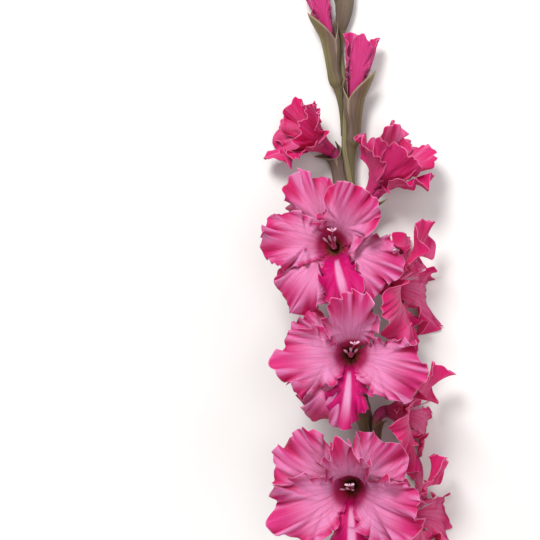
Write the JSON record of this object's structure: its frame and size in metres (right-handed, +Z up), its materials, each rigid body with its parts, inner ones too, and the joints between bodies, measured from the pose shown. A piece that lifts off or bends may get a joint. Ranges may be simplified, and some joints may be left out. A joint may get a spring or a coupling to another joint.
{
  "type": "gladiolus flower spike",
  "caption": "Cut gladiolus spike lying on its back: ruffled pink florets with stamens, half-open flowers and closed buds in bracts along one stem.",
  "frame": {"origin": "on the surface that the spike lies on, under the middle of its outline", "axes": "+Y along the stem, from the cut end to the tip; +Z up, the way the front florets look; +X to the side of the leaning florets"},
  "size_m": [0.1488, 0.7188, 0.1237],
  "materials": {
    "petal": "soft, faintly satin, ruffled edges of deeper pink",
    "bud_petal": "soft, faintly satin",
    "stamen": "matt",
    "bract": "satin, green-brown with a grey bloom",
    "bud": "satin green-brown",
    "leaf": "satin green, ribbed along",
    "stem": "smooth satin, green-brown, pale where cut"
  },
  "bodies": {
    "root": {"bracts_01": "bract", "bracts_02": "bract", "bracts_03": "bract", "bracts_04": "bract", "bracts_05": "bract", "bracts_06": "bract", "bracts_07": "bract", "bracts_08": "bract", "bracts_09": "bract", "bracts_10": "bract", "bud_11": "bud", "bud_12": "bud", "bud_13": "bud", "bud_14": "bud", "bud_15": "bud", "floret_01": "petal", "floret_02": "petal", "floret_03": "petal", "floret_04": "petal", "floret_05": "petal", "floret_06": "petal", "floret_07": "petal", "floret_08": "petal", "floret_09": "bud_petal", "floret_10": "bud_petal", "stamens_01": "stamen", "stamens_02": "stamen", "stamens_03": "stamen", "stamens_04": "stamen", "stamens_05": "stamen", "stamens_06": "stamen", "stem": "stem", "stem_leaf": "leaf"}
  },
  "joints": []
}
